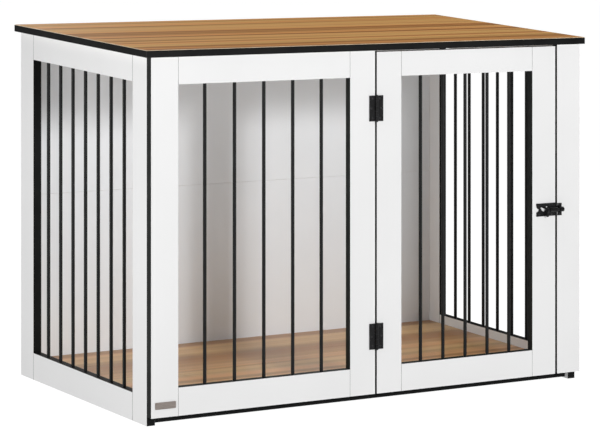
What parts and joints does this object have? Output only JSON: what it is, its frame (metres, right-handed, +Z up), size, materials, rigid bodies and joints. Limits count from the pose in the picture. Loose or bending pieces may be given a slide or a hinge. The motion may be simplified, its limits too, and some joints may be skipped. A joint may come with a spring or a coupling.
{
  "type": "dog crate end table",
  "caption": "Dog crate end table: white black-edged slatted side frames and front, black steel bars, wood-grain top and floor, hinged front door with slide bolt.",
  "frame": {"origin": "on the ground under the middle of the whole object, door hardware included", "axes": "+X along the front from the fixed frame to the door's free edge, +Y from the front to the back, +Z up"},
  "size_m": [1.0526, 0.5368, 0.7092],
  "materials": {
    "white_board": "smooth white laminated board with black-banded edges",
    "top_wood_grain": "satin wood-grain laminate, black-banded edge",
    "floor_wood_grain": "satin wood-grain laminate",
    "black_board": "matt black laminated board",
    "black_bar": "satin black powder-coated steel rod",
    "black_hardware": "satin black plated steel",
    "plate_metal": "brushed grey bronze, blank"
  },
  "bodies": {
    "crate": {"top_board": "top_wood_grain", "floor_board": "floor_wood_grain", "base_rail_front": "black_board", "base_rail_rear": "black_board", "back_panel_lower": "white_board", "back_panel_upper": "white_board", "left_side_stile_front": "white_board", "left_side_stile_rear": "white_board", "left_side_rail_bottom": "white_board", "left_side_rail_top": "white_board", "left_side_bar_1": "black_bar", "left_side_bar_2": "black_bar", "left_side_bar_3": "black_bar", "left_side_bar_4": "black_bar", "left_side_bar_5": "black_bar", "left_side_bar_6": "black_bar", "left_side_bar_7": "black_bar", "right_side_stile_front": "white_board", "right_side_stile_rear": "white_board", "right_side_rail_bottom": "white_board", "right_side_rail_top": "white_board", "right_side_bar_1": "black_bar", "right_side_bar_2": "black_bar", "right_side_bar_3": "black_bar", "right_side_bar_4": "black_bar", "right_side_bar_5": "black_bar", "right_side_bar_6": "black_bar", "right_side_bar_7": "black_bar", "front_fixed_stile_left": "white_board", "front_fixed_stile_right": "white_board", "front_fixed_rail_bottom": "white_board", "front_fixed_rail_top": "white_board", "front_fixed_bar_1": "black_bar", "front_fixed_bar_2": "black_bar", "front_fixed_bar_3": "black_bar", "front_fixed_bar_4": "black_bar", "front_fixed_bar_5": "black_bar", "front_post_right": "white_board", "hinge_upper_leaf_fixed": "black_hardware", "hinge_upper_pin": "black_hardware", "hinge_lower_leaf_fixed": "black_hardware", "hinge_lower_pin": "black_hardware", "latch_keeper": "black_hardware", "name_plate": "plate_metal"},
    "door": {"door_stile_left": "white_board", "door_stile_right": "white_board", "door_rail_bottom": "white_board", "door_rail_top": "white_board", "door_bar_1": "black_bar", "door_bar_2": "black_bar", "door_bar_3": "black_bar", "door_bar_4": "black_bar", "door_bar_5": "black_bar", "hinge_upper_leaf_door": "black_hardware", "hinge_lower_leaf_door": "black_hardware", "latch_plate": "black_hardware"},
    "latch_bolt": {"latch_bolt": "black_hardware"},
    "latch_knob": {"latch_knob": "black_hardware"}
  },
  "joints": [
    {"name": "door_hinge", "type": "hinge", "parent": "crate", "child": "door", "pos_m": [0.00015, -0.25955, 0.356], "axis": [0, 0, -1], "range_deg": [0, 170]},
    {"name": "latch_slide", "type": "slide", "parent": "door", "child": "latch_bolt", "axis": [-1, 0, 0], "range_m": [0, 0.019]},
    {"name": "latch_knob_turn", "type": "hinge", "parent": "latch_bolt", "child": "latch_knob", "pos_m": [0.42425, -0.26345, 0.357], "axis": [-1, 0, 0], "range_deg": [0, 90]}
  ]
}
